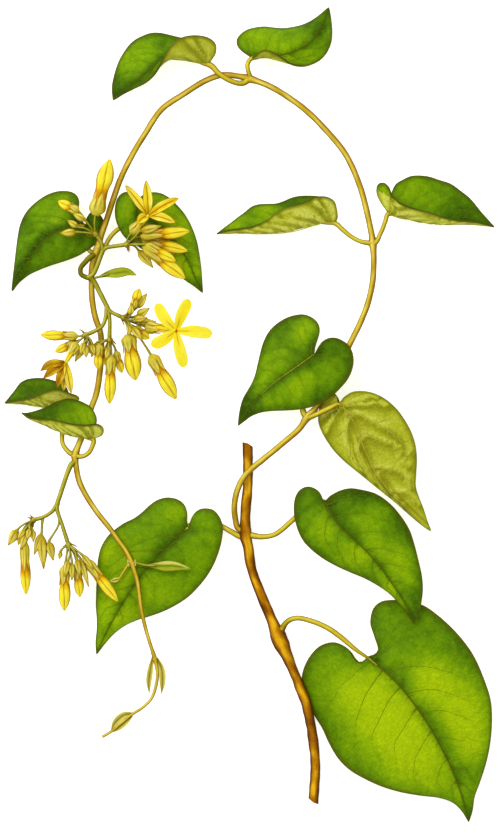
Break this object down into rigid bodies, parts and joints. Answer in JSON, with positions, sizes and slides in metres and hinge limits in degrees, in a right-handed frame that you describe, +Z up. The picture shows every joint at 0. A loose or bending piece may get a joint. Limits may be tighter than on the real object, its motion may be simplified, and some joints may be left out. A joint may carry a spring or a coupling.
{
  "type": "tonkin jasmine sprig",
  "caption": "Cut sprig of a twining vine lying flat, with heart-shaped leaves on long stalks and umbels of yellow star flowers and slender buds.",
  "frame": {"origin": "on the surface that the sprig lies on, under the centre of its outline", "axes": "+Z up from the surface, +Y along the sprig from the tips of its lowest leaves to the top of its arch, +X to the right as it is seen from above"},
  "size_m": [0.1866, 0.3105, 0.0228],
  "materials": {
    "bark": "matte bark",
    "shoot": "satin green stem",
    "leaf": "satin leaf",
    "pale_leaf": "satin underside of a leaf",
    "bud": "satin bud and calyx",
    "petal": "satin petal"
  },
  "bodies": {
    "root": {"woody_stem": "bark", "twining_shoot": "shoot", "leaf_largest": "leaf", "leaf_middle_right": "leaf", "leaf_reversed": "pale_leaf", "leaf_centre": "leaf", "leaf_lower_left": "leaf", "leaf_arch_left": "leaf", "leaf_arch_top": "leaf", "leaf_folded_centre": "leaf", "leaf_folded_right": "leaf", "leaf_upper_left": "leaf", "leaf_behind_flowers": "leaf", "leaf_folded_left_back": "leaf", "leaf_folded_left_front": "leaf", "flower_stalk_upper": "shoot", "flower_stalk_lower": "shoot", "lance_leaf": "leaf", "young_leaf": "leaf", "umbel_top": "bud", "umbel_upper": "bud", "umbel_left": "bud", "umbel_hanging": "bud", "umbel_right": "bud", "umbel_lower_left": "bud", "umbel_lower_right": "bud", "open_flower": "petal", "half_open_flower": "petal", "withered_flower": "petal", "largest_bud": "petal"}
  },
  "joints": []
}
